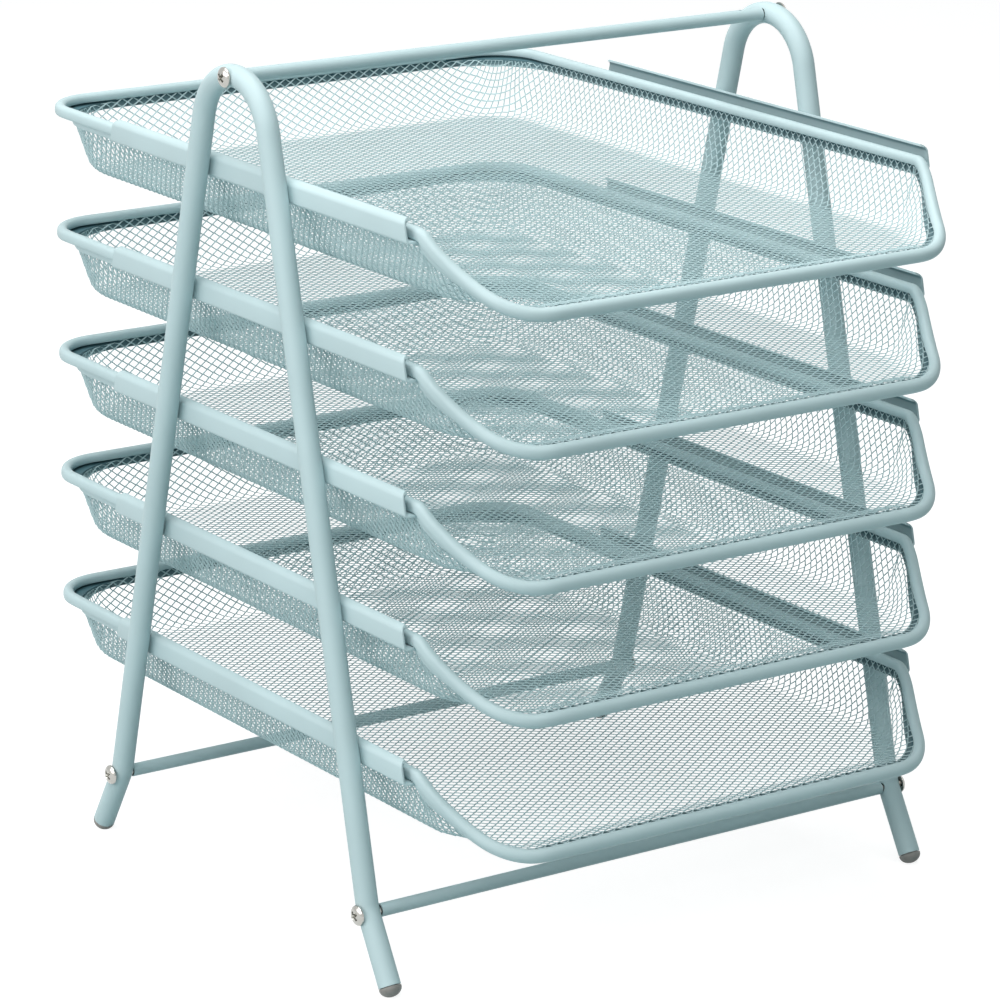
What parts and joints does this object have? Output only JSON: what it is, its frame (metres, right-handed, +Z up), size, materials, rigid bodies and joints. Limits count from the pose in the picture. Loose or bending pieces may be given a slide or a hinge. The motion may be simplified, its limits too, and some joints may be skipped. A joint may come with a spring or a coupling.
{
  "type": "paper tray organizer",
  "caption": "Free-standing desk organizer: sliding expanded-mesh paper trays with folded rims on channel rails, between two arched tube side frames joined by cross bars.",
  "frame": {"origin": "middle of the overall box in plan, at the floor that the foot plugs stand on", "axes": "+Z up; -Y towards the front, where the trays slide out; +X towards the right seen from the front"},
  "size_m": [0.3032, 0.364, 0.3829],
  "materials": {
    "powder_coat": "semi-gloss powder coat",
    "mesh_coat": "semi-gloss powder coat on expanded mesh",
    "screw_plate": "bright plated",
    "insert_plate": "dark zinc plate",
    "plug_plastic": "matt moulded plastic"
  },
  "bodies": {
    "stand": {"side_frame_left": "powder_coat", "side_frame_right": "powder_coat", "top_bar": "powder_coat", "front_lower_bar": "powder_coat", "rear_lower_bar": "powder_coat", "rail_left_1": "powder_coat", "rail_right_1": "powder_coat", "rail_left_2": "powder_coat", "rail_right_2": "powder_coat", "rail_left_3": "powder_coat", "rail_right_3": "powder_coat", "rail_left_4": "powder_coat", "rail_right_4": "powder_coat", "rail_left_5": "powder_coat", "rail_right_5": "powder_coat", "screw_top_left": "screw_plate", "insert_top_left": "insert_plate", "screw_top_right": "screw_plate", "insert_top_right": "insert_plate", "screw_front_left": "screw_plate", "insert_front_left": "insert_plate", "screw_front_right": "screw_plate", "insert_front_right": "insert_plate", "screw_rear_left": "screw_plate", "insert_rear_left": "insert_plate", "screw_rear_right": "screw_plate", "insert_rear_right": "insert_plate", "foot_plug_rear_left": "plug_plastic", "foot_plug_front_left": "plug_plastic", "foot_plug_rear_right": "plug_plastic", "foot_plug_front_right": "plug_plastic"},
    "tray_1": {"tray_rim_1": "powder_coat", "tray_mesh_1": "mesh_coat"},
    "tray_2": {"tray_rim_2": "powder_coat", "tray_mesh_2": "mesh_coat"},
    "tray_3": {"tray_rim_3": "powder_coat", "tray_mesh_3": "mesh_coat"},
    "tray_4": {"tray_rim_4": "powder_coat", "tray_mesh_4": "mesh_coat"},
    "tray_5": {"tray_rim_5": "powder_coat", "tray_mesh_5": "mesh_coat"}
  },
  "joints": [
    {"name": "tray_1_slide", "type": "slide", "parent": "stand", "child": "tray_1", "axis": [0, -1, 0], "range_m": [0, 0.22]},
    {"name": "tray_2_slide", "type": "slide", "parent": "stand", "child": "tray_2", "axis": [0, -1, 0], "range_m": [0, 0.22]},
    {"name": "tray_3_slide", "type": "slide", "parent": "stand", "child": "tray_3", "axis": [0, -1, 0], "range_m": [0, 0.22]},
    {"name": "tray_4_slide", "type": "slide", "parent": "stand", "child": "tray_4", "axis": [0, -1, 0], "range_m": [0, 0.22]},
    {"name": "tray_5_slide", "type": "slide", "parent": "stand", "child": "tray_5", "axis": [0, -1, 0], "range_m": [0, 0.22]}
  ]
}
